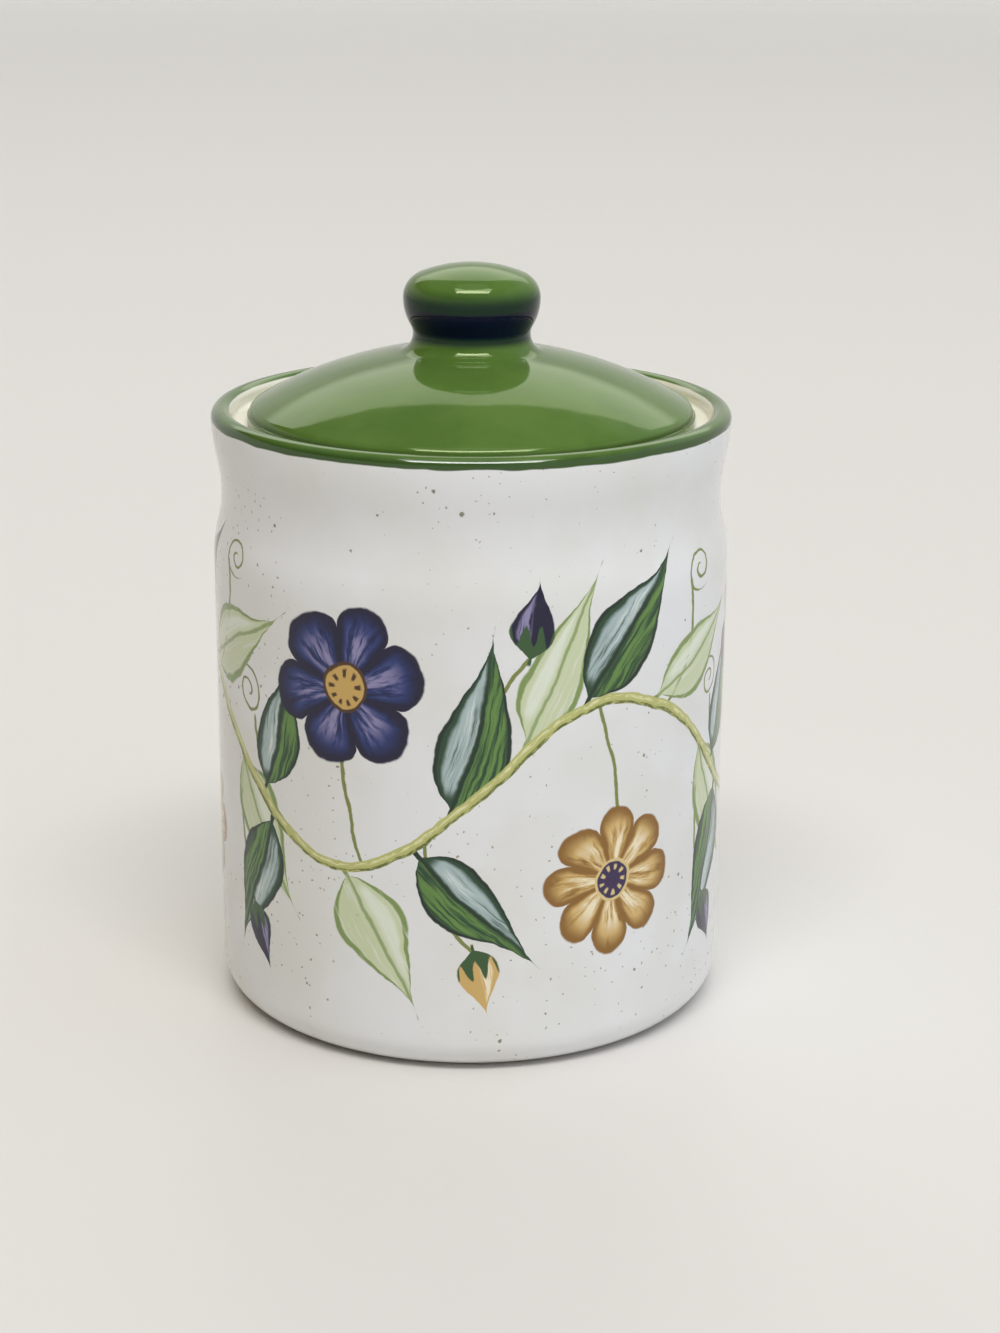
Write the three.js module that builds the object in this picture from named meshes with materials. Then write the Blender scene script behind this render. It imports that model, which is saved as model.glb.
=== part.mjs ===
// Kitchen canister: a glazed earthenware jar with a drop-in domed lid and a silicone gasket.
// Millimetres, +Z up, origin on the table at the middle of the foot.
import * as THREE from "three";

// Jar
const wallRadius = 75; // outside of the straight wall, and of the lip
const rimHeight = 177; // table to the top of the lip
const wallThickness = 5.5;
const floorThickness = 6.5;
const baseCorner = 10; // outside radius round the base
const floorCorner = 9; // inside radius round the floor
const footWidth = 4.2; // flat ring that the jar stands on
const footEdge = 0.8; // radius on the foot's inner edge
const footRecess = 2; // hollow of the underside, within the foot
const recessCorner = 1.2; // radius round that hollow
const shoulderDrop = 43; // lip top down to where the wall starts to draw in
const waistDrop = 24.5; // lip top down to the narrowest place
const waistDepth = 2.5; // how far the waist is drawn in
const lipThickness = 6;
const ledgeDrop = 5; // lip top down to the ledge that the lid sits on
const ledgeWidth = 10; // how far the ledge reaches in from the lip
const ledgeThickness = 4; // upright face of the ledge's inner edge
const ledgeEdge = 1.5; // radius over that edge
const ledgeFillet = 1.2; // radius from the ledge up into the lip

// Lid
const seatGap = 0.3; // brim above the ledge
const brimGap = 4.4; // brim to the inside of the lip
const brimThickness = 2.3;
const brimEdge = 0.4; // radius round the brim's outer edge
const brimStep = 0.5; // how far the brim stands out beyond the dome
const domeRise = 19.2; // brim top to the crown of the dome
const domeEdge = 3; // radius where the dome turns down to the brim
const shellThickness = 4.5; // wall of the dome and of the hollow knob
const knobRadius = 19.7;
const knobRise = 23.4; // crown of the dome to the top of the knob
const knobShoulder = 9.8; // widest place of the knob to its top
const knobEdge = 7.5; // radius over the knob's shoulder
const knobFlank = 15.2; // radius of the knob's side, below its widest place
const knobFillet = 5.2; // knob into dome
const flangeDepth = 10.5; // brim underside to the flange's lower edge
const flangeThickness = 5;
const flangeFillet = 0.8; // flange into brim, outside
const flangeRoot = 3; // flange into dome, inside
const flangeEdge = 1.5; // radius on the flange's lower edge

// Gasket
const gasketHeight = 4.2;
const gasketReach = 2; // how far its lips stand out of the flange
const gasketGap = 0.3; // lips to the ledge's inner edge
const grooveDepth = 1.8;
const grooveFit = 0.2; // gasket to the walls of its groove
const lipCount = 2;
const lipRoot = 0.2; // web left outside the flange between two lips

// Facets
const ringSegments = 48; // round the axis
const chordError = 0.1; // how far an arc's facets may cut inside it
const easeSteps = 6; // facets on an S-curve
const samePoint = 0.001; // points nearer than this are one
const easeHandle = 0.364; // handle, as a share of an S-curve's length, that makes it a half cosine

// Sizes that follow
const footOuter = wallRadius - baseCorner;
const footInner = footOuter - footWidth - footEdge;
const shoulderHeight = rimHeight - shoulderDrop;
const waistHeight = rimHeight - waistDrop;
const waistRadius = wallRadius - waistDepth;
const innerRadius = wallRadius - wallThickness;
const lipRadius = lipThickness / 2;
const lipInner = wallRadius - lipThickness;
const ledgeHeight = rimHeight - ledgeDrop;
const ledgeBore = lipInner - ledgeWidth;
const ledgeUnderside = ledgeHeight - ledgeEdge - ledgeThickness;
const floorHeight = footRecess + floorThickness;
const brimRadius = lipInner - brimGap;
const domeRadius = brimRadius - brimStep;
const flangeRadius = ledgeBore - gasketGap - gasketReach;
const flangeInner = flangeRadius - flangeThickness;
const grooveRadius = flangeRadius - grooveDepth;
const gasketMiddle = -seatGap - ledgeEdge - ledgeThickness / 2; // from the brim's underside

// Radius of the flat crown that closes a cap, tangent to the smaller arc over the cap's edge.
function crownRadius(halfWidth, edgeRadius, rise) {
  const inset = halfWidth - edgeRadius;
  return (inset ** 2 + rise ** 2 - edgeRadius ** 2) / (2 * (rise - edgeRadius));
}

// Where two circles meet, on the side away from the axis.
function outerMeeting(a, aRadius, b, bRadius) {
  const apart = b.distanceTo(a);
  const along = (apart ** 2 + aRadius ** 2 - bRadius ** 2) / (2 * apart);
  const aside = Math.sqrt(aRadius ** 2 - along ** 2);
  const way = b.clone().sub(a).normalize();
  const across = new THREE.Vector2(-way.y, way.x).multiplyScalar(aside);
  return a.clone().addScaledVector(way, along).add(across);
}

function heading(from, to) {
  return Math.atan2(to.y - from.y, to.x - from.x);
}

// An outline is drawn in the half plane of radius and height, with the clay on its left,
// so a convex edge turns anticlockwise and a hollow corner clockwise.
const outwards = 0;
const upwards = Math.PI / 2;
const inwards = Math.PI;
const downwards = (3 * Math.PI) / 2;

function drawArc(path, { centre, radius, start, end }) {
  path.absarc(centre.x, centre.y, radius, start, end, end < start);
}

function drawEdge(path, radius, height, size, start) {
  path.absarc(radius, height, size, start, start + Math.PI / 2, false);
}

function drawCorner(path, radius, height, size, start) {
  path.absarc(radius, height, size, start, start - Math.PI / 2, true);
}

// An S-curve that leaves and arrives upright.
function drawEase(path, radius, height) {
  const from = path.currentPoint;
  const handle = (height - from.y) * easeHandle;
  path.bezierCurveTo(from.x, from.y + handle, radius, height - handle, radius, height);
}

function stepsOn(curve) {
  if (curve.isLineCurve) return 1;
  if (!curve.isEllipseCurve) return easeSteps;
  const turn = Math.abs(curve.aEndAngle - curve.aStartAngle);
  const widest = 2 * Math.acos(Math.max(0, 1 - chordError / curve.xRadius));
  return Math.ceil(turn / widest);
}

function pointsOn(path) {
  const points = [path.curves[0].getPoint(0)];
  for (const curve of path.curves) {
    const steps = stepsOn(curve);
    for (let i = 1; i <= steps; i++) {
      const point = curve.getPoint(i / steps);
      if (point.distanceTo(points.at(-1)) > samePoint) points.push(point);
    }
  }
  return points;
}

function turned(name, path, material) {
  const geometry = new THREE.LatheGeometry(pointsOn(path), ringSegments);
  geometry.rotateX(Math.PI / 2);
  const mesh = new THREE.Mesh(geometry, material);
  mesh.name = name;
  return mesh;
}

// Jar: underside and foot, wall, waist and lip, then down the inside over the ledge to the floor.
function jarOutline() {
  const path = new THREE.Path();
  path.moveTo(0, footRecess);
  path.lineTo(footInner - recessCorner, footRecess);
  drawCorner(path, footInner - recessCorner, footRecess - recessCorner, recessCorner, upwards);
  path.lineTo(footInner, footEdge);
  drawEdge(path, footInner + footEdge, footEdge, footEdge, inwards);
  path.lineTo(footOuter, 0);
  drawEdge(path, footOuter, baseCorner, baseCorner, downwards);
  path.lineTo(wallRadius, shoulderHeight);
  drawEase(path, waistRadius, waistHeight);
  const lipMiddle = wallRadius - lipRadius;
  const lipHeight = rimHeight - lipRadius;
  drawEase(path, wallRadius, lipHeight);
  drawEdge(path, lipMiddle, lipHeight, lipRadius, outwards);
  drawEdge(path, lipMiddle, lipHeight, lipRadius, upwards);
  path.lineTo(lipInner, ledgeHeight + ledgeFillet);
  drawCorner(path, lipInner - ledgeFillet, ledgeHeight + ledgeFillet, ledgeFillet, outwards);
  path.lineTo(ledgeBore + ledgeEdge, ledgeHeight);
  drawEdge(path, ledgeBore + ledgeEdge, ledgeHeight - ledgeEdge, ledgeEdge, upwards);
  path.lineTo(ledgeBore, ledgeUnderside);
  drawEase(path, waistRadius - wallThickness, waistHeight);
  drawEase(path, innerRadius, shoulderHeight);
  path.lineTo(innerRadius, floorHeight + floorCorner);
  drawCorner(path, innerRadius - floorCorner, floorHeight + floorCorner, floorCorner, outwards);
  path.lineTo(0, floorHeight);
  return path;
}

// Knob and dome as one line of tangent arcs, from the axis outwards, the given inset inside the glaze.
// Heights are above the brim's underside.
const domeTop = brimThickness + domeRise;
const knobTop = domeTop + knobRise;
const domeCrown = crownRadius(domeRadius, domeEdge, domeRise);
const knobCrown = crownRadius(knobRadius, knobEdge, knobShoulder);
const domeCentre = new THREE.Vector2(0, domeTop - domeCrown);
const domeEdgeCentre = new THREE.Vector2(domeRadius - domeEdge, brimThickness);
const knobCrownCentre = new THREE.Vector2(0, knobTop - knobCrown);
const knobEdgeCentre = new THREE.Vector2(knobRadius - knobEdge, knobTop - knobShoulder);
const flankCentre = new THREE.Vector2(knobRadius - knobFlank, knobTop - knobShoulder);
const filletCentre = outerMeeting(
  flankCentre,
  knobFlank + knobFillet,
  domeCentre,
  domeCrown + knobFillet,
);

function knobArcs(inset) {
  const shoulder = heading(knobCrownCentre, knobEdgeCentre);
  const neck = heading(flankCentre, filletCentre);
  const foot = heading(domeCentre, filletCentre);
  return [
    { centre: knobCrownCentre, radius: knobCrown - inset, start: upwards, end: shoulder },
    { centre: knobEdgeCentre, radius: knobEdge - inset, start: shoulder, end: outwards },
    { centre: flankCentre, radius: knobFlank - inset, start: outwards, end: neck },
    { centre: filletCentre, radius: knobFillet + inset, start: neck + Math.PI, end: foot + Math.PI },
  ];
}

function reversed(arc) {
  return { ...arc, start: arc.end, end: arc.start };
}

// Lid: from the hollow of the knob out under the dome, round the flange and its groove,
// round the brim, and back over the dome and the knob.
function lidOutline() {
  const path = new THREE.Path();
  path.moveTo(0, knobTop - shellThickness);
  for (const arc of knobArcs(shellThickness)) drawArc(path, arc);
  const underside = domeCrown - shellThickness;
  const rootRadius = flangeInner - flangeRoot;
  const rootHeight = domeCentre.y + Math.sqrt((underside - flangeRoot) ** 2 - rootRadius ** 2);
  const rootCentre = new THREE.Vector2(rootRadius, rootHeight);
  const knobSide = heading(domeCentre, filletCentre);
  const rootSide = heading(domeCentre, rootCentre);
  drawArc(path, { centre: domeCentre, radius: underside, start: knobSide, end: rootSide });
  drawArc(path, { centre: rootCentre, radius: flangeRoot, start: rootSide, end: outwards });

  const edgeHeight = flangeEdge - flangeDepth;
  path.lineTo(flangeInner, edgeHeight);
  drawEdge(path, flangeInner + flangeEdge, edgeHeight, flangeEdge, inwards);
  path.lineTo(flangeRadius - flangeEdge, -flangeDepth);
  drawEdge(path, flangeRadius - flangeEdge, edgeHeight, flangeEdge, downwards);
  const grooveHalf = gasketHeight / 2 + grooveFit;
  path.lineTo(flangeRadius, gasketMiddle - grooveHalf);
  path.lineTo(grooveRadius, gasketMiddle - grooveHalf);
  path.lineTo(grooveRadius, gasketMiddle + grooveHalf);
  path.lineTo(flangeRadius, gasketMiddle + grooveHalf);
  path.lineTo(flangeRadius, -flangeFillet);
  drawCorner(path, flangeRadius + flangeFillet, -flangeFillet, flangeFillet, inwards);

  path.lineTo(brimRadius - brimEdge, 0);
  drawEdge(path, brimRadius - brimEdge, brimEdge, brimEdge, downwards);
  path.lineTo(brimRadius, brimThickness - brimEdge);
  drawEdge(path, brimRadius - brimEdge, brimThickness - brimEdge, brimEdge, outwards);
  path.lineTo(domeRadius, brimThickness);
  const edgeSide = heading(domeCentre, domeEdgeCentre);
  drawArc(path, { centre: domeEdgeCentre, radius: domeEdge, start: outwards, end: edgeSide });
  drawArc(path, { centre: domeCentre, radius: domeCrown, start: edgeSide, end: knobSide });
  for (const arc of knobArcs(0).reverse()) drawArc(path, reversed(arc));
  return path;
}

// Gasket: a strip that fills the groove, with pointed lips that wipe the ledge's inner edge.
function gasketOutline() {
  const back = grooveRadius + grooveFit;
  const bottom = -gasketHeight / 2;
  const pitch = gasketHeight / lipCount;
  const path = new THREE.Path();
  path.moveTo(back, bottom);
  path.lineTo(flangeRadius, bottom);
  for (let i = 0; i < lipCount; i++) {
    const foot = bottom + i * pitch;
    path.lineTo(flangeRadius + gasketReach, foot + pitch / 2);
    const web = i + 1 < lipCount ? lipRoot : 0;
    path.lineTo(flangeRadius + web, foot + pitch);
  }
  path.lineTo(back, -bottom);
  path.lineTo(back, bottom);
  return path;
}

const whiteGlaze = new THREE.MeshStandardMaterial({ color: 0xe9e7e2, roughness: 0.12, metalness: 0 });
const greenGlaze = new THREE.MeshStandardMaterial({ color: 0x547a35, roughness: 0.08, metalness: 0 });
const silicone = new THREE.MeshStandardMaterial({ color: 0xdfe2de, roughness: 0.55, metalness: 0 });

const canister = new THREE.Group();
canister.add(turned("canister_body", jarOutline(), whiteGlaze));

const lidGroup = new THREE.Group();
lidGroup.position.z = ledgeHeight + seatGap;
lidGroup.add(turned("lid", lidOutline(), greenGlaze));
const gasket = turned("lid_gasket", gasketOutline(), silicone);
gasket.position.z = gasketMiddle;
lidGroup.add(gasket);
canister.add(lidGroup);

export default canister;
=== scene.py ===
import math
import bmesh
import bpy
from mathutils import Matrix, Vector


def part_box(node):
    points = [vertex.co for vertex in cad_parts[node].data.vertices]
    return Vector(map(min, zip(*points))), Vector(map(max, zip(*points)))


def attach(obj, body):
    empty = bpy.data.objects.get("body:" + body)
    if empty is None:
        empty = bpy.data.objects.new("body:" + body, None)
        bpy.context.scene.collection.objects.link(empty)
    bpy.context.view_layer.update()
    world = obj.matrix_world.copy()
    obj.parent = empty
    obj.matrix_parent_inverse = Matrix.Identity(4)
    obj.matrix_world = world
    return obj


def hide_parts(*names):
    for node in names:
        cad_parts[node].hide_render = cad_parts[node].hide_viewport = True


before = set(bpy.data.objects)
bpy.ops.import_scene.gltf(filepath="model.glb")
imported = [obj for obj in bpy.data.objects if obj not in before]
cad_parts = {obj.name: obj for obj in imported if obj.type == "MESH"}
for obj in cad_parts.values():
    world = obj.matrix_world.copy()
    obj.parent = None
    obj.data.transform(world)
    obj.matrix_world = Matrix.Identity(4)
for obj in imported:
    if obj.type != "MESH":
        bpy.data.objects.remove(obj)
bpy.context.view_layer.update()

# The jar
# One slip-cast earthenware pot: foot ring, straight wall, drawn-in waist and rounded lip, with a ledge
# inside the lip for the lid. It is dipped in white glaze that fires with brown specks, painted by hand
# under a clear coat, and its lip is brushed with green glaze.
jar_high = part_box("canister_body")[1]
wall_radius = jar_high.x
rim_height = jar_high.z
wall_thickness = 0.0055
floor_height = 0.0085
base_corner = 0.010
floor_corner = 0.009
foot_width = 0.0042
foot_edge = 0.0008
foot_recess = 0.002
recess_corner = 0.0012
shoulder_height = rim_height - 0.043
waist_height = rim_height - 0.0245
waist_radius = wall_radius - 0.0025
lip_radius = 0.003
ledge_height = rim_height - 0.005
ledge_bore = 0.059
ledge_thickness = 0.004
ledge_edge = 0.0015
ledge_fillet = 0.0012


class Section:
    """Half of a turned piece's section, drawn by a pen: radius along X and height along Z."""

    arc_step = math.radians(6)
    facet = 0.0028

    def __init__(self, radius, height):
        self.mesh = bmesh.new()
        self.pen = self.mesh.verts.new((radius, 0, height))

    def line(self, radius, height):
        start = self.pen.co.copy()
        end = Vector((radius, 0, height))
        steps = math.ceil((end - start).length / self.facet)
        for step in range(1, steps + 1):
            drawn = bmesh.ops.extrude_vert_indiv(self.mesh, verts=[self.pen])
            self.pen = drawn["verts"][0]
            self.pen.co = start.lerp(end, step / steps)

    def arc(self, radius, height, turn):
        """Turns the pen about a centre, anticlockwise where the turn is positive."""
        centre = Vector((radius, 0, height))
        length = (self.pen.co - centre).length * abs(turn)
        steps = math.ceil(max(abs(turn) / self.arc_step, length / self.facet))
        drawn = bmesh.ops.spin(
            self.mesh, geom=[self.pen], cent=centre, axis=(0, -1, 0), angle=turn, steps=steps
        )
        self.pen = drawn["geom_last"][0]

    def ease(self, radius, height):
        """An S-curve of two equal arcs, upright at both ends."""
        across = radius - self.pen.co.x
        along = height - self.pen.co.z
        turn = -2 * math.atan(across / along)
        bend = (across ** 2 + along ** 2) / (4 * across)
        self.arc(self.pen.co.x + bend, self.pen.co.z, turn)
        self.arc(radius - bend, height, -turn)

    def turned(self, name, steps=192):
        """Spins the section once round the upright axis into a smooth mesh."""
        bmesh.ops.spin(
            self.mesh, geom=self.mesh.verts[:] + self.mesh.edges[:], axis=(0, 0, 1), cent=(0, 0, 0),
            angle=2 * math.pi, steps=steps, use_merge=True,
        )
        bmesh.ops.remove_doubles(self.mesh, verts=self.mesh.verts, dist=1e-6)
        bmesh.ops.recalc_face_normals(self.mesh, faces=self.mesh.faces)
        for face in self.mesh.faces:
            face.smooth = True
        mesh = bpy.data.meshes.new(name)
        self.mesh.to_mesh(mesh)
        self.mesh.free()
        piece = bpy.data.objects.new(name, mesh)
        bpy.context.scene.collection.objects.link(piece)
        return piece


quarter = math.pi / 2
foot_outer = wall_radius - base_corner
foot_inner = foot_outer - foot_width
recess_radius = foot_inner - foot_edge
inner_radius = wall_radius - wall_thickness
lip_middle = wall_radius - lip_radius
lip_inner = lip_middle - lip_radius
ledge_top = ledge_height - ledge_edge

pot = Section(0, foot_recess)
pot.line(recess_radius - recess_corner, foot_recess)
pot.arc(recess_radius - recess_corner, foot_recess - recess_corner, -quarter)
pot.arc(foot_inner, foot_edge, quarter)
pot.line(foot_outer, 0)
pot.arc(foot_outer, base_corner, quarter)
pot.line(wall_radius, shoulder_height)
pot.ease(waist_radius, waist_height)
pot.ease(wall_radius, rim_height - lip_radius)
pot.arc(lip_middle, rim_height - lip_radius, math.pi)
pot.line(lip_inner, ledge_height + ledge_fillet)
pot.arc(lip_inner - ledge_fillet, ledge_height + ledge_fillet, -quarter)
pot.line(ledge_bore + ledge_edge, ledge_height)
pot.arc(ledge_bore + ledge_edge, ledge_top, quarter)
pot.line(ledge_bore, ledge_top - ledge_thickness)
pot.ease(waist_radius - wall_thickness, waist_height)
pot.ease(inner_radius, shoulder_height)
pot.line(inner_radius, floor_height + floor_corner)
pot.arc(inner_radius - floor_corner, floor_height + floor_corner, -quarter)
pot.line(0, floor_height)
jar = pot.turned("canister_pot")


class Tone:
    """A socket in a material's node tree that can be used in sums like a number."""

    def __init__(self, tree, socket=None):
        self.tree = tree
        self.socket = socket

    def node(self, kind, settings=None, inputs=None, out=0):
        """Adds a node: its settings come first, then the values or links of its sockets."""
        added = self.tree.nodes.new(kind)
        for name, value in (settings or {}).items():
            setattr(added, name, value)
        for name, value in (inputs or {}).items():
            if isinstance(value, Tone):
                self.tree.links.new(value.socket, added.inputs[name])
            else:
                added.inputs[name].default_value = value
        return Tone(self.tree, added.outputs[out])

    def part(self, out):
        """Another output of the node that this tone comes from."""
        return Tone(self.tree, self.socket.node.outputs[out])

    def math(self, operation, *values):
        return self.node("ShaderNodeMath", {"operation": operation}, dict(enumerate(values)))

    def step(self, low, high):
        """Rises smoothly from 0 at low to 1 at high, or falls where high is the smaller."""
        limits = {"Value": self, "From Min": low, "From Max": high}
        return self.node("ShaderNodeMapRange", {"interpolation_type": "SMOOTHSTEP"}, limits)

    def near(self, middle, half, soft):
        """1 within a half width of the middle, falling smoothly to 0 over a soft edge."""
        return abs(self - middle).step(half + soft, half)

    def mix(self, first, second, share):
        """The first colour where the share is 0, and the second where it is 1."""
        return self.node("ShaderNodeMix", {"data_type": "RGBA"}, {0: share, 6: first, 7: second}, out=2)

    def over(self, colour, mask):
        """This colour with another laid over it where the mask is 1."""
        return self.mix(self, colour, mask)

    def __add__(self, other):
        return self.math("ADD", self, other)

    def __radd__(self, other):
        return self.math("ADD", other, self)

    def __sub__(self, other):
        return self.math("SUBTRACT", self, other)

    def __rsub__(self, other):
        return self.math("SUBTRACT", other, self)

    def __mul__(self, other):
        return self.math("MULTIPLY", self, other)

    def __rmul__(self, other):
        return self.math("MULTIPLY", other, self)

    def __truediv__(self, other):
        return self.math("DIVIDE", self, other)

    def __rtruediv__(self, other):
        return self.math("DIVIDE", other, self)

    def __abs__(self):
        return self.math("ABSOLUTE", self)


def paint(code):
    """The linear colour of a six-digit colour code."""
    shares = [int(code[place:place + 2], 16) / 255 for place in (0, 2, 4)]
    return (*(s / 12.92 if s <= 0.04045 else ((s + 0.055) / 1.055) ** 2.4 for s in shares), 1)


def new_material(name):
    material = bpy.data.materials.new(name)
    material.use_nodes = True
    return material, Tone(material.node_tree)


def finish(material, colour, roughness, normal):
    """Links a material's colour, roughness and normal to its shader."""
    shader = material.node_tree.nodes["Principled BSDF"]
    for name, value in (("Base Color", colour), ("Roughness", roughness), ("Normal", normal)):
        material.node_tree.links.new(value.socket, shader.inputs[name])
    return shader


def noise(vector, scale, detail=2, roughness=0.5, out="Fac"):
    values = {"Vector": vector, "Scale": scale, "Detail": detail, "Roughness": roughness}
    return vector.node("ShaderNodeTexNoise", inputs=values, out=out)


def point(x, y, z=0):
    """A vector made of tones or numbers."""
    return x.node("ShaderNodeCombineXYZ", inputs={0: x, 1: y, 2: z})


def parts(vector):
    """The three coordinates of a vector."""
    split = vector.node("ShaderNodeSeparateXYZ", inputs={0: vector})
    return split, split.part("Y"), split.part("Z")


white_glaze, tone = new_material("speckled_white_glaze")
place = tone.node("ShaderNodeTexCoord", out="Object")
x, y, z = parts(place)
radius = tone.math("SQRT", x * x + y * y)

# The painting is laid out in millimetres on the unrolled wall: around from the front, and up from the
# table. A slow noise bends it as a hand would, and a quick one roughens the brush's edge.
millimetre = 0.001
girth = 2 * math.pi * wall_radius / millimetre
repeats = 3
pitch = girth / repeats
hand_drift = 9
hand_quiver = 1.1
drift = parts(noise(place, 24, out="Color"))[:2]
quiver = parts(noise(place, 260, out="Color"))[:2]
swerve_around, swerve_up = [
    (slow - 0.5) * hand_drift + (quick - 0.5) * hand_quiver for slow, quick in zip(drift, quiver)
]
around = tone.math("ARCTAN2", x, 0 - y) * (wall_radius / millimetre) + swerve_around
height = z / millimetre + swerve_up

stem_middle = 84
stem_swing = 24
stem_crest = 42
stem_rate = 2 * math.pi / pitch


def on_stem(across):
    """A place on the vine, at a number of millimetres round the wall."""
    return across, stem_middle + stem_swing * math.cos((across - stem_crest) * stem_rate)


def motif(root, size_along, size_aside, lean=0.0):
    """A motif's own coordinates, along its lean and aside of it, which come back in every repeat."""
    across, up = root
    near = tone.math("WRAP", around, across + pitch / 2, across - pitch / 2)
    values = {
        "Vector": point(near, height),
        "Location": (across, up, 0),
        "Rotation": (0, 0, math.radians(lean)),
        "Scale": (size_along, size_aside, 1),
    }
    return parts(tone.node("ShaderNodeMapping", {"vector_type": "TEXTURE"}, values))[:2]


def blades(leaves):
    """The edge of the nearest leaf or bud, 1 on its outline, and the place along and aside of its rib."""
    stalk_share = 0.07
    stalk_width = 0.075
    tip = 1.02
    fade = 0.01
    # The blade's cubic outline is scaled so that its fullest half width is 1.
    fullness = 27 / (4 * (1 - stalk_share) ** 3)
    edge = None
    for number, (root, lean, length, width, bend) in enumerate(leaves):
        along, aside = motif(root, length, width / 2, lean)
        aside = aside + bend * (along - along * along)
        blade = fullness * (along - stalk_share) * (1 - along) * (1 - along)
        blade = tone.math("MAXIMUM", blade, stalk_width * (tip + fade - along))
        this_edge = tone.math("MAXIMUM", abs(aside) / blade, abs(along - tip / 2) / (tip / 2))
        this_grain = point(along, aside, number)
        if edge is None:
            edge = this_edge
            grain = this_grain
            continue
        nearer = tone.math("LESS_THAN", this_edge, edge)
        edge = tone.math("MINIMUM", this_edge, edge)
        mixed = {0: nearer, 4: grain, 5: this_grain}
        grain = tone.node("ShaderNodeMix", {"data_type": "VECTOR"}, mixed, out=1)
    along, aside, number = parts(grain)
    streak = noise(point(along * 2.2 + number * 7, aside * 8), 1, 4, 0.65)
    return edge, along, aside, streak


def stalk(colour, start, end, bow, ink):
    """A thin brushed line from one place on the wall to another, bowed to its left."""
    run = end[0] - start[0]
    rise = end[1] - start[1]
    along, aside = motif(start, math.hypot(run, rise), 1, math.degrees(math.atan2(rise, run)))
    aside = aside - 4 * bow * (along - along * along)
    return colour.over(ink, aside.near(0, 0.4, 0.3) * along.near(0.5, 0.5, 0.02))


def curl(colour, centre, size, lean, ink):
    """A tendril's end, wound up in a spiral."""
    windings = 1.8
    along, aside = motif(centre, size, size, lean)
    reach = tone.math("SQRT", along * along + aside * aside)
    wind = tone.math("FRACT", reach * windings - tone.math("ARCTAN2", aside, along) / (2 * math.pi))
    line = wind.near(0.5, 0.07, 0.07)
    return colour.over(ink, line * reach.step(0.1, 0.2) * reach.step(1.0, 0.94))


# The glaze's own white, a little warmer where it lies thicker.
colour = tone.mix(paint("e5e6e6"), paint("dfdfda"), noise(place, 30, 3).step(0.35, 0.7))

# Iron specks that come up through the white glaze in loose swarms: fine, coarse and a few large ones.
# Each kind: its cells in a metre, the specks' size in their cells, and their colour.
raggedness = 0.0016
shift = {0: noise(place, 700, out="Color"), 1: (raggedness, raggedness, raggedness), 2: place}
ragged = tone.node("ShaderNodeVectorMath", {"operation": "MULTIPLY_ADD"}, shift)
swarm = noise(place, 26).step(0.4, 0.62)
for cells, size, ink in (
    (340, 0.15, paint("8d8465")),
    (125, 0.095, paint("5f573b")),
    (46, 0.055, paint("66614a")),
):
    cell = tone.node("ShaderNodeTexVoronoi", inputs={"Vector": ragged, "Scale": cells})
    reach = size * (0.35 + 0.65 * swarm)
    colour = colour.over(ink, (cell / reach).step(1, 0.6) * 0.8)

# Thin stalks and curls, brushed first. Each stalk: its start, its end and its bow.
olive_ink = paint("7c8444")
navy_flower = (-36, 112)
ochre_flower = (42, 54)
for start, end, bow in (
    (on_stem(-30), navy_flower, 3),
    (on_stem(36), ochre_flower, 3),
    (on_stem(4), (15, 124), 4),
    (on_stem(-12), (0, 36), -4),
    (on_stem(80), (84, 38), -4),
    (on_stem(60), (72, 137), -5),
    (on_stem(-50), (-71, 98), 5),
):
    colour = stalk(colour, start, end, bow, olive_ink)
colour = curl(colour, (77, 139), 6.5, 180, olive_ink)
colour = curl(colour, (-73, 104), 6.5, 20, olive_ink)

# Pale leaves: a thin sage wash with a lighter stroke down one side and a loose outline.
# Each leaf: where its stalk leaves the vine, its lean in degrees, its length, its width and its bend.
edge, _, aside, streak = blades([
    (on_stem(14), 66, 54, 18, -0.4),
    (on_stem(54), 26, 50, 19, 0.5),
    (on_stem(-37), -64, 46, 18, -0.4),
    (on_stem(78), -60, 52, 20, 0.5),
])
wash = edge.step(1.06, 0.96) * streak.step(0.25, 0.5)
colour = colour.over(paint("c3cf9f"), wash * 0.85)
colour = colour.over(paint("dfe6d4"), wash * aside.step(0.05, 0.3) * edge.step(0.75, 0.55))
outline = edge.near(0.96, 0.06, 0.08)
rib = aside.near(0, 0.03, 0.05) * edge.step(1.0, 0.9)
strokes = tone.math("MAXIMUM", outline, rib * 0.8)
colour = colour.over(paint("7f9555"), strokes * streak.step(0.2, 0.45))

# Dark leaves: deep green, with leaf-green strokes below the rib, grey-blue ones above it and an outline.
edge, along, aside, streak = blades([
    (on_stem(-6), 77, 54, 21, 0.5),
    (on_stem(31), 52, 54, 20, -0.5),
    (on_stem(-16), -46, 50, 20, 0.5),
    (on_stem(-62), -112, 52, 20, -0.5),
    (on_stem(90), 72, 44, 18, 0.4),
])
body = edge.step(1.04, 0.98)
colour = colour.over(paint("24452c"), body)
light_side = aside.step(0.05, -0.15) * edge.step(0.95, 0.75)
colour = colour.over(paint("638a42"), body * light_side * streak.step(0.4, 0.58))
shine = aside.step(0.05, 0.15) * edge.step(0.8, 0.62) * along.step(0.1, 0.2)
colour = colour.over(paint("a9bbba"), body * shine * streak.step(0.28, 0.5))
colour = colour.over(paint("d3ddd9"), body * shine * edge.step(0.6, 0.4) * streak.step(0.5, 0.62))
rib = aside.near(0, 0.025, 0.05)
colour = colour.over(paint("16301f"), body * rib * along.step(0.95, 0.6))
colour = colour.over(paint("12291c"), edge.step(0.86, 0.93) * body)

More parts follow.
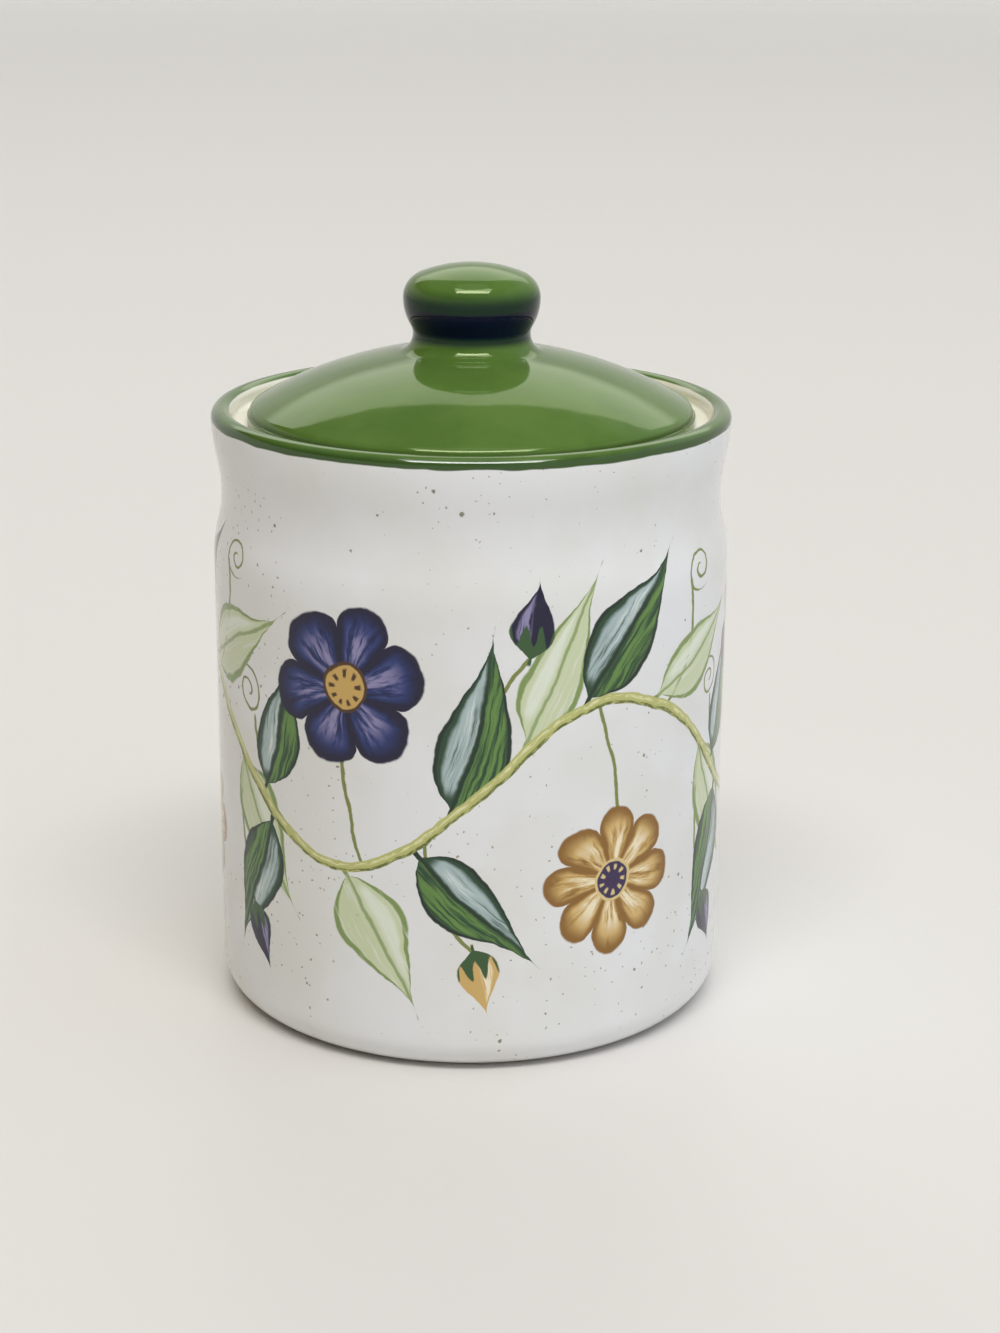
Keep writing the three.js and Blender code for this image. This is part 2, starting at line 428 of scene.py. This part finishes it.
# The vine: one olive-yellow stroke, dark along its lower edge and light along its upper one.
swing = (around - stem_crest) * stem_rate
slope = tone.math("SINE", swing) * (stem_swing * stem_rate)
off_stem = height - stem_middle - tone.math("COSINE", swing) * stem_swing
off_stem = off_stem / tone.math("SQRT", 1 + slope * slope)
bark = noise(point(around, off_stem * 3), 0.35, 3, 0.6)
colour = colour.over(paint("b9ba72"), off_stem.near(0, 1.4, 0.4))
colour = colour.over(paint("626b2f"), off_stem.near(-1.2, 0.3, 0.3) * bark.step(0.35, 0.55))
colour = colour.over(paint("dcdca8"), off_stem.near(0.5, 0.3, 0.3) * bark.step(0.4, 0.6))


def buds(colour, leaves, deep, light):
    """Closed flowers: a deep drop with a light stroke, held in a green calyx with a toothed edge."""
    edge, along, aside, streak = blades(leaves)
    body = edge.step(1.05, 0.95)
    colour = colour.over(deep, body)
    stroke = body * aside.step(0.05, 0.25) * edge.step(0.8, 0.6)
    colour = colour.over(light, stroke * streak.step(0.35, 0.55))
    calyx = along + 0.12 * tone.math("COSINE", aside * 9)
    return colour.over(paint("35562f"), body * calyx.step(0.36, 0.32))


def blossom(colour, centre, size, lean, petals, inks):
    """A painted flower: petals with light strokes, dark gaps between them and a dotted heart."""
    deep, middle, light, heart, dots = inks
    along, aside = motif(centre, size, size, lean)
    reach = tone.math("SQRT", along * along + aside * aside)
    bearing = tone.math("ARCTAN2", aside, along)
    petal = abs(tone.math("COSINE", bearing * (petals / 2)))
    edge = reach / (0.68 + 0.32 * tone.math("POWER", petal, 0.5))
    streak = noise(point(bearing * 5, reach * 1.6, petals), 1.3, 3, 0.6)
    body = edge.step(1.02, 0.985)
    colour = colour.over(deep, body)
    wide = body * petal.step(0.2, 0.6) * edge.step(0.97, 0.72)
    colour = colour.over(middle, wide * streak.step(0.28, 0.5))
    narrow = body * petal.step(0.45, 0.85) * edge.step(0.85, 0.5)
    colour = colour.over(light, narrow * streak.step(0.42, 0.62))
    colour = colour.over(heart, reach.step(0.29, 0.25))
    dotted = tone.math("COSINE", bearing * 9).step(0.1, 0.6) * reach.near(0.17, 0.02, 0.035)
    return colour.over(dots, tone.math("MAXIMUM", dotted, reach.near(0.27, 0.012, 0.018)))


# Each flower's inks: deep, middle and light, its heart and the heart's dots. A bud is given as a leaf is.
navy_inks = [paint(code) for code in ("0e0a30", "1f3370", "8f88ae", "c9a55c", "4a2f18")]
ochre_inks = [paint(code) for code in ("8a6126", "cdaa66", "efe4c4", "37284f", "d8c187")]
navy_buds = [((14, 121), 78, 22, 12, 0.2), ((84, 40), -68, 22, 12, -0.2)]
ochre_buds = [((0, 38), -75, 22, 12, 0.2)]
colour = buds(colour, navy_buds, navy_inks[0], navy_inks[2])
colour = buds(colour, ochre_buds, ochre_inks[1], ochre_inks[2])
colour = blossom(colour, navy_flower, 23, 12, 6, navy_inks)
colour = blossom(colour, ochre_flower, 21, 0, 8, ochre_inks)

# The cream inside, and the green that was brushed over the lip: further down outside than inside, with the
# brush's uneven lower edge. Outside the lip the green is painted darker towards its lower edge, as painted
# shade where the lip turns down.
lip_line = rim_height - 0.0032
lip_line_inside = rim_height - 0.001
brush_sway = 0.0016
cream_edge = lip_middle - 0.0004
inside = radius.step(cream_edge, cream_edge - 0.0004)
inside = inside * z.step(floor_height - 0.0035, floor_height - 0.0025)
cream = tone.mix(paint("faf6e4"), paint("f2eedb"), noise(place, 25, 3).step(0.35, 0.7))
colour = colour.over(cream, inside)


def leaf_green(place):
    """Leaf-green glaze, clouded where it ran thicker or thinner."""
    cloud = noise(place, 38, 4, 0.6)
    return cloud.mix(paint("4f6e2d"), paint("5b7936"), cloud.step(0.3, 0.7))


over_lip = radius.step(lip_middle + 0.001, lip_middle - 0.001)
sway = (noise(place, 70) - 0.5) * brush_sway * (1 - 0.8 * over_lip)
above_line = z + sway - over_lip * (lip_line_inside - lip_line) - lip_line
# Painted shade: the lip's outer, downward-turning side is painted a darker green.
lip_painted_shade = above_line.step(0.0032, 0.0014) * (1 - over_lip)
lip_green = leaf_green(place).over(paint("274319"), lip_painted_shade * 0.8)
colour = colour.over(lip_green, above_line.step(-0.0002, 0.0002))

# The foot ring is wiped bare before firing.
wiped_height = 0.0006
biscuit = z.step(wiped_height, wiped_height / 2)
colour = colour.over(paint("d8c6a6"), biscuit)


def glaze_ripple(place):
    """The slow waves of a dipped glaze, with a little orange peel."""
    values = {"Height": noise(place, 55) + noise(place, 420) * 0.02, "Strength": 1, "Distance": 0.00012}
    return place.node("ShaderNodeBump", inputs=values)


def glaze_roughness(place):
    """A fired glaze's gloss, which is never quite even."""
    return 0.05 + noise(place, 90) * 0.03


finish(white_glaze, colour, glaze_roughness(place) + biscuit * 0.7, glaze_ripple(place))
jar.data.materials.append(white_glaze)
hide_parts("canister_body")
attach(jar, "jar")

# The lid
# One slip-cast earthenware shell: a hollow knob, a dome and a brim, with a flange underneath that drops
# into the jar's ledge. It is dipped in leaf-green glaze. Under the knob the glaze is painted deep green
# and navy as painted shade, and it is painted darker along the crease round the dome.
lid_low, lid_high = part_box("lid")
brim_radius = lid_high.x
knob_top = lid_high.z
flange_bottom = lid_low.z
brim_underside = ledge_height + 0.0003
brim_thickness = 0.0023
brim_edge = 0.0004
brim_step = 0.0005
dome_rise = 0.0192
dome_edge = 0.003
shell = 0.0045
knob_radius = 0.0197
knob_shoulder = 0.0098
knob_edge = 0.0075
knob_flank = 0.0152
knob_fillet = 0.0052
flange_thickness = 0.005
flange_fillet = 0.0008
flange_root = 0.003
flange_edge = 0.0015
groove_depth = 0.0018
groove_height = 0.0046
groove_middle = brim_underside - 0.0038

gasket_low, gasket_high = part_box("lid_gasket")
gasket_reach = 0.002
flange_radius = gasket_high.x - gasket_reach
flange_inner = flange_radius - flange_thickness
brim_top = brim_underside + brim_thickness
dome_foot = brim_radius - brim_step
widest = knob_top - knob_shoulder


def crown_radius(half_width, edge, rise):
    """The radius of a crown that runs smoothly into an edge radius at a half width, over a rise."""
    return ((half_width - edge) ** 2 + rise ** 2 - edge ** 2) / (2 * (rise - edge))


knob_crown = crown_radius(knob_radius, knob_edge, knob_shoulder)
knob_crown_centre = knob_top - knob_crown
knob_tilt = math.atan2(knob_radius - knob_edge, widest - knob_crown_centre)
dome_crown = crown_radius(dome_foot, dome_edge, dome_rise)
dome_centre = brim_top + dome_rise - dome_crown
dome_tilt = math.atan2(dome_foot - dome_edge, brim_top - dome_centre)

flank_centre = knob_radius - knob_flank
flank_reach = knob_flank + knob_fillet
dome_reach = dome_crown + knob_fillet
apart = Vector((flank_centre, widest - dome_centre))
along = (dome_reach ** 2 - flank_reach ** 2 + apart.length_squared) / (2 * apart.length)
aside = math.sqrt(dome_reach ** 2 - along ** 2)
toward = apart.normalized()
fillet_radius = toward.x * along + toward.y * aside
fillet_height = dome_centre + toward.y * along - toward.x * aside
flank_turn = math.asin((widest - fillet_height) / flank_reach)
neck_tilt = math.atan2(fillet_radius, fillet_height - dome_centre)
fillet_turn = math.pi / 2 + flank_turn - neck_tilt

knob_arcs = [
    (0, knob_crown_centre, -knob_tilt),
    (knob_radius - knob_edge, widest, knob_tilt - quarter),
    (flank_centre, widest, -flank_turn),
    (fillet_radius, fillet_height, fillet_turn),
]
root_radius = flange_inner - flange_root
root_height = dome_centre + math.sqrt((dome_crown - shell - flange_root) ** 2 - root_radius ** 2)
root_tilt = math.atan2(root_radius, root_height - dome_centre)

cover = Section(0, knob_top)
for centre_radius, centre_height, turn in knob_arcs:
    cover.arc(centre_radius, centre_height, turn)
cover.arc(0, dome_centre, neck_tilt - dome_tilt)
cover.arc(dome_foot - dome_edge, brim_top, dome_tilt - quarter)
cover.line(brim_radius - brim_edge, brim_top)
cover.arc(brim_radius - brim_edge, brim_top - brim_edge, -quarter)
cover.line(brim_radius, brim_underside + brim_edge)
cover.arc(brim_radius - brim_edge, brim_underside + brim_edge, -quarter)
cover.line(flange_radius + flange_fillet, brim_underside)
cover.arc(flange_radius + flange_fillet, brim_underside - flange_fillet, quarter)
cover.line(flange_radius, groove_middle + groove_height / 2)
cover.line(flange_radius - groove_depth, groove_middle + groove_height / 2)
cover.line(flange_radius - groove_depth, groove_middle - groove_height / 2)
cover.line(flange_radius, groove_middle - groove_height / 2)
cover.line(flange_radius, flange_bottom + flange_edge)
cover.arc(flange_radius - flange_edge, flange_bottom + flange_edge, -quarter)
cover.line(flange_inner + flange_edge, flange_bottom)
cover.arc(flange_inner + flange_edge, flange_bottom + flange_edge, -quarter)
cover.line(flange_inner, root_height)
cover.arc(root_radius, root_height, quarter - root_tilt)
cover.arc(0, dome_centre, root_tilt - neck_tilt)
for centre_radius, centre_height, turn in reversed(knob_arcs):
    cover.arc(centre_radius, centre_height, -turn)
lid = cover.turned("domed_lid")

green_glaze, tone = new_material("leaf_green_glaze")
place = tone.node("ShaderNodeTexCoord", out="Object")
x, y, z = parts(place)
radius = tone.math("SQRT", x * x + y * y)
colour = leaf_green(place)
neck_radius = fillet_radius - knob_fillet
shade_top = widest + 0.005
shade_bottom = fillet_height - 0.0025
darkest_shade_middle = widest - 0.0056
darkest_shade_reach = 0.003
# Painted shade: the knob's downward-facing underside is painted deep green, and navy lower down, for the
# shade and dark reflections under it.
knob_painted_shade = z.step(shade_bottom, fillet_height)
knob_painted_shade = knob_painted_shade * radius.step(neck_radius - shell / 2, neck_radius - 0.001)
colour = colour.over(paint("002822"), knob_painted_shade * z.step(shade_top, widest - 0.0005))
colour = colour.over(paint("02052e"), knob_painted_shade * z.near(darkest_shade_middle, darkest_shade_reach, 0.001))
crease = radius.near(dome_foot + 0.0002, 0.0002, 0.0005) * z.step(brim_top - 0.0005, brim_top)
colour = colour.over(paint("2f4a1c"), crease * 0.7)
shader = finish(green_glaze, colour, glaze_roughness(place), glaze_ripple(place))
shader.inputs["Specular IOR Level"].default_value = 0.3
shader.inputs["Specular Tint"].default_value = (0.9, 1.0, 0.6, 1)
lid.data.materials.append(green_glaze)
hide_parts("lid")
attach(lid, "lid")

# The gasket
# A moulded ring of white silicone with two lips, stretched into the groove of the lid's flange. It closes
# the gap to the jar's ledge, so that the lid seals and sits still.
groove_play = 0.0002
lip_valley = 0.0002
gasket_inner = flange_radius - groove_depth + groove_play
gasket_bottom = gasket_low.z
gasket_top = gasket_high.z
lip_count = 2
lip_pitch = (gasket_top - gasket_bottom) / lip_count

ring = Section(gasket_inner, gasket_bottom)
ring.line(flange_radius, gasket_bottom)
for lip in range(lip_count):
    lip_bottom = gasket_bottom + lip * lip_pitch
    ring.line(flange_radius + gasket_reach, lip_bottom + lip_pitch / 2)
    ring.line(flange_radius + lip_valley, lip_bottom + lip_pitch)
ring.line(flange_radius, gasket_top)
ring.line(gasket_inner, gasket_top)
ring.line(gasket_inner, gasket_bottom)
gasket = ring.turned("sealing_ring")

silicone, tone = new_material("white_silicone")
place = tone.node("ShaderNodeTexCoord", out="Object")
bloom = noise(place, 85, 3, 0.6)
colour = tone.mix(paint("dfe2de"), paint("cdd2cf"), bloom.step(0.3, 0.7))
grain = {"Height": noise(place, 1600), "Strength": 0.6, "Distance": 0.00004}
finish(silicone, colour, 0.4 + bloom * 0.18, tone.node("ShaderNodeBump", inputs=grain))
gasket.data.materials.append(silicone)
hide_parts("lid_gasket")
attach(gasket, "lid")

# The floor
# A plain, pale, matt tabletop: a wide disc under the canister, which fades into the background far
# behind it.
floor_radius = 8
fade_start = 3
disc = bmesh.new()
bmesh.ops.create_circle(disc, cap_ends=True, segments=96, radius=floor_radius)
floor_mesh = bpy.data.meshes.new("floor")
disc.to_mesh(floor_mesh)
disc.free()
floor = bpy.data.objects.new("floor", floor_mesh)
bpy.context.scene.collection.objects.link(floor)
tabletop, tone = new_material("pale_tabletop")
shader = tabletop.node_tree.nodes["Principled BSDF"]
shader.inputs["Base Color"].default_value = (0.73, 0.71, 0.675, 1)
shader.inputs["Roughness"].default_value = 0.5
away = tone.node("ShaderNodeTexCoord", out="Object")
away = tone.node("ShaderNodeVectorMath", {"operation": "LENGTH"}, {0: away}, out="Value")
clear = tone.node("ShaderNodeBsdfTransparent")
surface = Tone(tabletop.node_tree, shader.outputs[0])
fade = away.step(fade_start, floor_radius)
faded = tone.node("ShaderNodeMixShader", inputs={0: fade, 1: surface, 2: clear})
output = tabletop.node_tree.nodes["Material Output"]
tabletop.node_tree.links.new(faded.socket, output.inputs["Surface"])
floor_mesh.materials.append(tabletop)

# The light
# A pale room, bright at the right, dim and warm at the left, with an arch of light on the wall behind and
# a broad lamp high up in front. The glaze mirrors the ceiling dimmer, the arch brighter and the lamp
# taller than they light the canister, and near the horizon eye and glaze see one pale tone.
lamp_distance = 8
lamp_rise = math.radians(62)
lamp_aside = 0.2
lamp_length = 6.3
lamp_width = 1.5
lamp_power = 394
arch_height = 1.35
arch_spread = 1.2
room = bpy.data.worlds.new("room")
bpy.context.scene.world = room
room.use_nodes = True
tone = Tone(room.node_tree)
right, back, up = parts(tone.node("ShaderNodeTexCoord", out="Generated"))
rays = tone.node("ShaderNodeLightPath", out="Is Camera Ray")
mirrored = rays.part("Is Glossy Ray")
seen = tone.math("MAXIMUM", rays, mirrored)
seen = tone.math("MAXIMUM", seen, rays.part("Is Transmission Ray"))
walls = tone.mix((0.10, 0.07, 0.03, 1), (0.70, 0.75, 0.85, 1), right.step(-0.7, 0.9))
ceiling = tone.mix((0.36, 0.29, 0.19, 1), (0.65, 0.67, 0.73, 1), right.step(-0.6, 0.6))
ceiling = ceiling.over((0.20, 0.20, 0.20, 1), mirrored)
light = walls.over(ceiling, up.step(0.6, 0.8))
light = light.over((0.95, 0.95, 0.95, 1), up.step(0.94, 0.98))
under_arch = arch_height * back * back - arch_spread * right * right - up * back
arch = tone.mix((0.90, 0.90, 0.88, 1), (1.80, 1.84, 1.64, 1), mirrored)
light = light.over(arch, under_arch.step(0, 0.01) * back.step(0, 0.1))
light = light.over((0.73, 0.72, 0.69, 1), seen * up.step(0.45, 0.35))
glow = up.near(math.sin(lamp_rise), 0.06, 0.015) * right.near(0.03, 0.36, 0.02) * back.step(-0.1, -0.2)
light = light.over((8, 8, 8, 1), glow * mirrored)
room.node_tree.links.new(light.socket, room.node_tree.nodes["Background"].inputs["Color"])

strip = bpy.data.lights.new("strip_lamp", "AREA")
strip.shape = "RECTANGLE"
strip.size = lamp_length
strip.size_y = lamp_width
strip.energy = lamp_power
lamp = bpy.data.objects.new("strip_lamp", strip)
lamp_height = lamp_distance * math.sin(lamp_rise)
lamp.location = (lamp_aside, -lamp_distance * math.cos(lamp_rise), lamp_height)
lamp.rotation_euler = (quarter - lamp_rise, 0, 0)
bpy.context.scene.collection.objects.link(lamp)

# The camera
# It stands in front of the canister, about half as high again as that is tall, and looks down at it
# through a fairly long lens.
camera_distance = 0.7453
camera_height = 0.3272
camera_pitch = 0.2994
camera_yaw = math.radians(-0.671)
camera_roll = 0.0066
lens_length = 70.75
optics = bpy.data.cameras.new("camera")
optics.lens = lens_length
camera = bpy.data.objects.new("camera", optics)
camera.matrix_world = (
    Matrix.Translation((0, -camera_distance, camera_height))
    @ Matrix.Rotation(camera_yaw, 4, "Z")
    @ Matrix.Rotation(quarter - camera_pitch, 4, "X")
    @ Matrix.Rotation(camera_roll, 4, "Z")
)
bpy.context.scene.collection.objects.link(camera)
bpy.context.scene.camera = camera
bpy.context.scene.view_settings.view_transform = "Standard"
